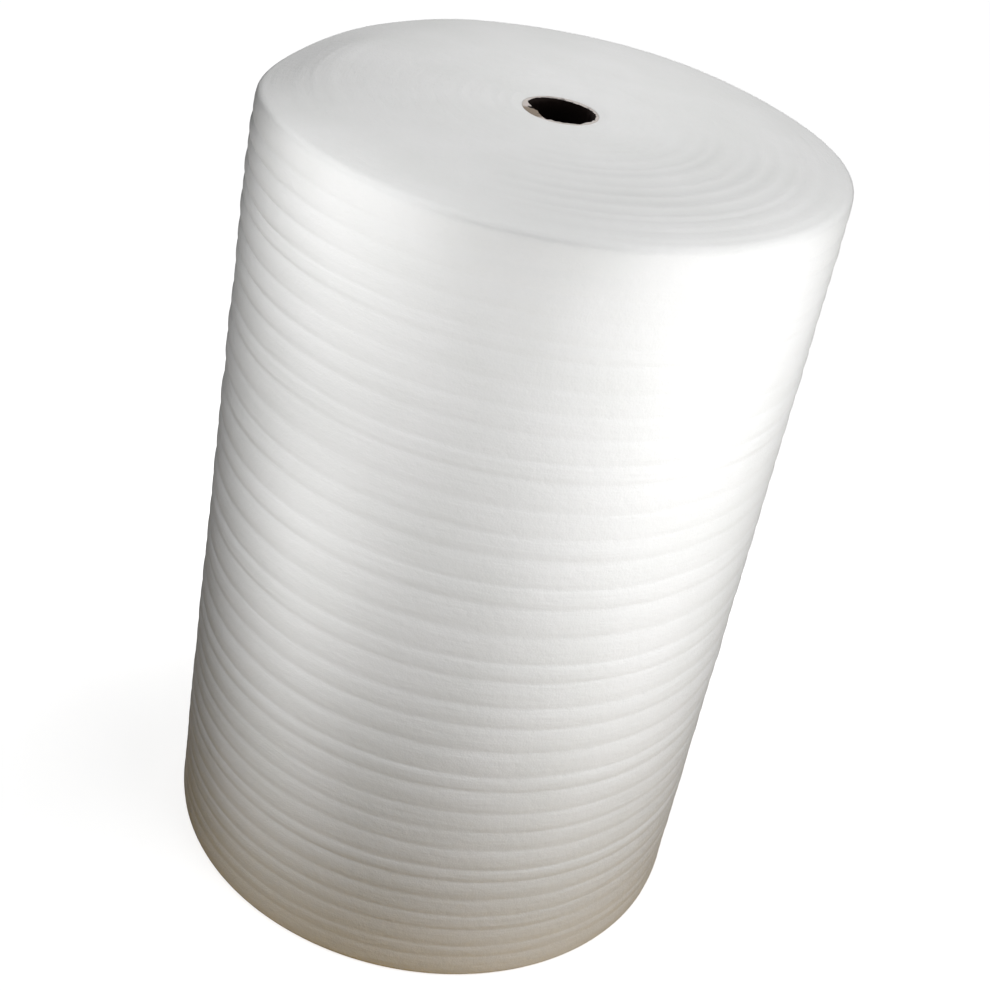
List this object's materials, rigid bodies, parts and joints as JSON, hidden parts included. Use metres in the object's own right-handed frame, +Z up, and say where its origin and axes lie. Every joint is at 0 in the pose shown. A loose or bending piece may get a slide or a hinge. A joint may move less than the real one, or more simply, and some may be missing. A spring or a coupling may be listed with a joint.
{
  "type": "foam wrap roll",
  "caption": "Large upright roll of soft white foam wrapping sheet, wound on a cardboard tube with an open bore for a spindle.",
  "frame": {"origin": "centre of the bottom end on the axis of the tube", "axes": "+Z up along the tube; the loose end of the sheet lies at the back, 15 degrees past +Y towards -X"},
  "size_m": [0.6707, 0.6716, 1.0121],
  "materials": {
    "foam": "soft white closed-cell foam, matte with a faint satin skin",
    "cardboard": "matte grey-brown board"
  },
  "bodies": {
    "root": {"foam_roll": "foam", "core_tube": "cardboard"}
  },
  "joints": []
}
